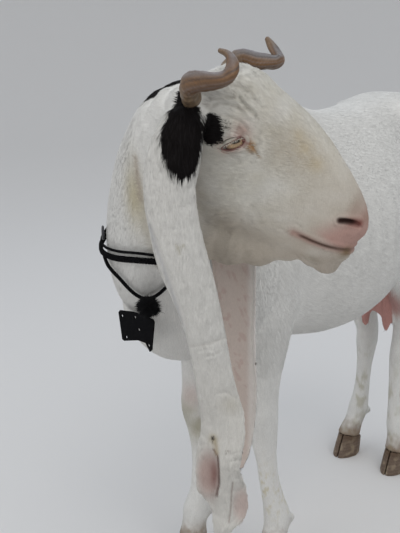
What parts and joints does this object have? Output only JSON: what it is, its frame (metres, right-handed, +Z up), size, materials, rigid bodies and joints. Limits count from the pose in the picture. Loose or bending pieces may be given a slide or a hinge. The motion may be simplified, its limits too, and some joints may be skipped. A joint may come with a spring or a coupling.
{
  "type": "gulabi goat doe model",
  "caption": "Life-size still model of a standing doe with the head turned to its left, long hanging ears, twisted horns and a neck cord",
  "frame": {"origin": "middle of the underside of the whole model, level with the soles", "axes": "+Z up, +X from the tail towards the chest, +Y to the goat's left"},
  "size_m": [1.0758, 0.4946, 0.9575],
  "materials": {
    "coat": "short smooth hair",
    "bare_skin": "matt",
    "ear_hide": "short smooth hair",
    "eye": "gloss",
    "horn": "satin",
    "hoof": "matt",
    "cord": "matt",
    "wool": "fluffy",
    "tag": "satin"
  },
  "bodies": {
    "root": {"head": "coat", "neck": "coat", "torso": "coat", "tail": "coat", "fore_right_upper": "coat", "fore_right_lower": "coat", "fore_left_upper": "coat", "fore_left_lower": "coat", "hind_right_upper": "coat", "hind_right_lower": "coat", "hind_left_upper": "coat", "hind_left_lower": "coat", "udder": "bare_skin", "ear_right": "ear_hide", "ear_left": "ear_hide", "eye_right": "eye", "eye_left": "eye", "horn_right": "horn", "horn_left": "horn", "hoof_fore_right_right": "hoof", "hoof_fore_right_left": "hoof", "hoof_fore_left_right": "hoof", "hoof_fore_left_left": "hoof", "hoof_hind_right_right": "hoof", "hoof_hind_right_left": "hoof", "hoof_hind_left_right": "hoof", "hoof_hind_left_left": "hoof", "collar_upper": "cord", "collar_braid": "cord", "collar_lower": "cord", "collar_ring": "cord", "pompom": "wool", "plate": "tag"}
  },
  "joints": []
}
